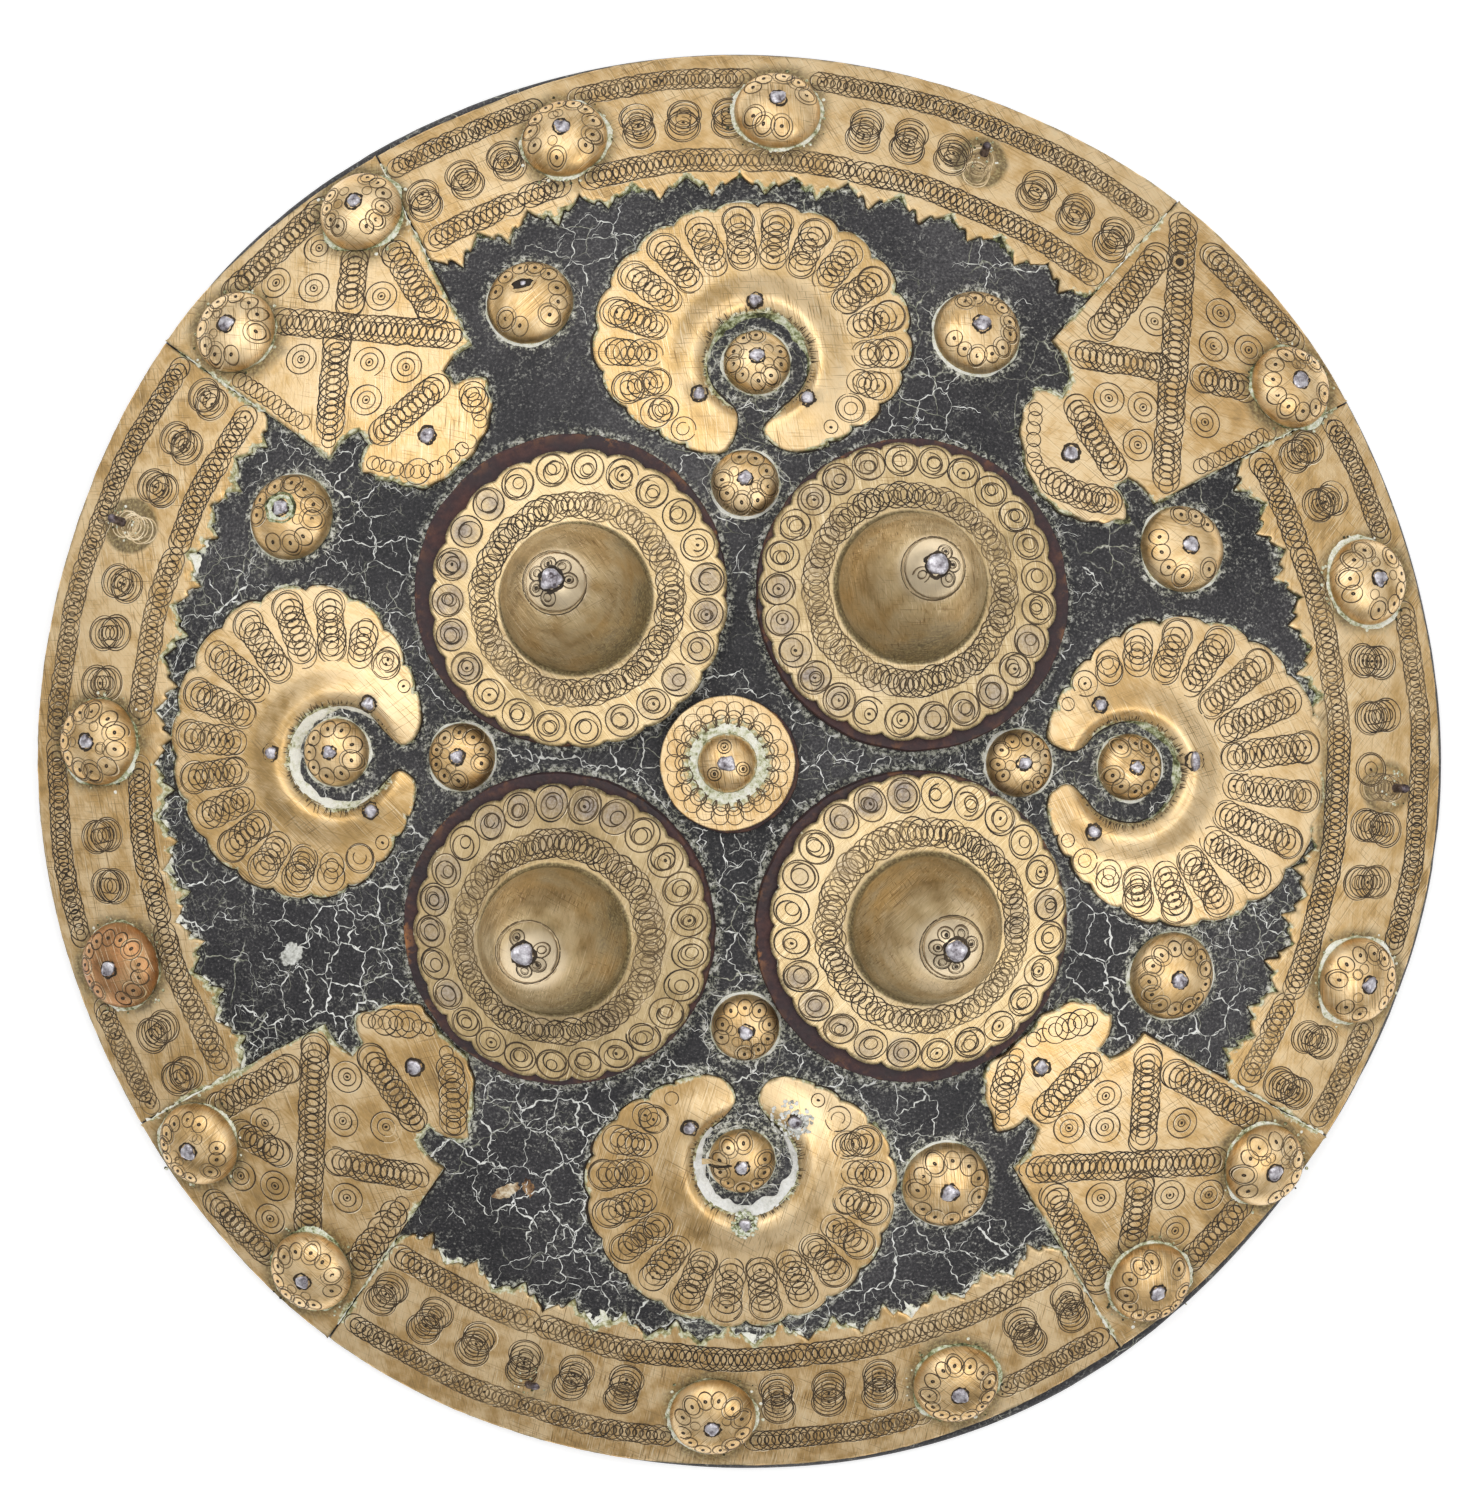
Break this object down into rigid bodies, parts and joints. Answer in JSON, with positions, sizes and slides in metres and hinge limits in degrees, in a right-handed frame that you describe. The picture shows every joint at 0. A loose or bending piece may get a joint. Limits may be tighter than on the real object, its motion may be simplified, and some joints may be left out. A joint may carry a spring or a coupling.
{
  "type": "round buckler shield",
  "caption": "Round domed hand shield of black lacquered hide with engraved brass border, crescents, corner plates, studs and tall bosses, and leather hand straps behind.",
  "frame": {"origin": "on the floor under the middle of the shield's outline, the rim's foot being z = 0", "axes": "+Z out of the shield's face, so the shield lies face up; +Y towards the top of the shield; +X to the right seen from the front"},
  "size_m": [0.3786, 0.3832, 0.0965],
  "materials": {
    "brass": "aged, file-scratched sheet brass engraved with small circles, with dark grooves and pale green verdigris along its edges",
    "lacquered_hide": "black lacquer over hide, crackled, with white and cream dirt in the cracks",
    "washer_leather": "dark aubergine-brown leather, frayed orange-brown at its edge",
    "strap_leather": "plain worn brown strap leather",
    "iron": "dull hammered iron with brown rust",
    "rivet_steel": "peened lilac-grey rivet ends, dark round the edge",
    "verdigris": "matt cream to pale green corrosion crust on the brass edges"
  },
  "bodies": {
    "root": {"hide_body": "lacquered_hide", "border_arc_top": "brass", "border_arc_left": "brass", "border_arc_bottom": "brass", "border_arc_right": "brass", "corner_plate_upper_right": "brass", "corner_plate_upper_left": "brass", "corner_plate_lower_left": "brass", "corner_plate_lower_right": "brass", "crescent_top": "brass", "crescent_left": "brass", "crescent_bottom": "brass", "crescent_right": "brass", "washer_upper_left": "washer_leather", "boss_upper_left": "brass", "washer_upper_right": "washer_leather", "boss_upper_right": "brass", "washer_lower_left": "washer_leather", "boss_lower_left": "brass", "washer_lower_right": "washer_leather", "boss_lower_right": "brass", "washer_middle": "washer_leather", "boss_middle": "brass", "stud_small_top": "brass", "stud_small_left": "brass", "stud_small_bottom": "brass", "stud_small_right": "brass", "stud_window_top": "brass", "stud_window_left": "brass", "stud_window_bottom": "brass", "stud_window_right": "brass", "stud_field_upper_right": "brass", "stud_field_upper_left": "brass", "stud_field_left": "brass", "stud_field_lower_right": "brass", "stud_field_right_low": "brass", "stud_field_right_high": "brass", "stud_rim_top": "brass", "stud_rim_top_left": "brass", "stud_rim_left": "brass", "stud_rim_left_low": "brass", "stud_rim_bottom": "brass", "stud_rim_bottom_right": "brass", "stud_rim_right_low": "brass", "stud_rim_right_high": "brass", "stud_corner_top_left": "brass", "stud_corner_left_top": "brass", "stud_corner_left_bottom": "brass", "stud_corner_bottom_left": "brass", "stud_corner_bottom_right": "brass", "stud_corner_right_bottom": "brass", "stud_corner_right_top": "brass", "hand_strap_left": "strap_leather", "strap_rove_upper_left": "iron", "strap_rove_lower_left": "iron", "hand_strap_right": "strap_leather", "strap_rove_upper_right": "iron", "strap_rove_lower_right": "iron"}
  },
  "joints": []
}
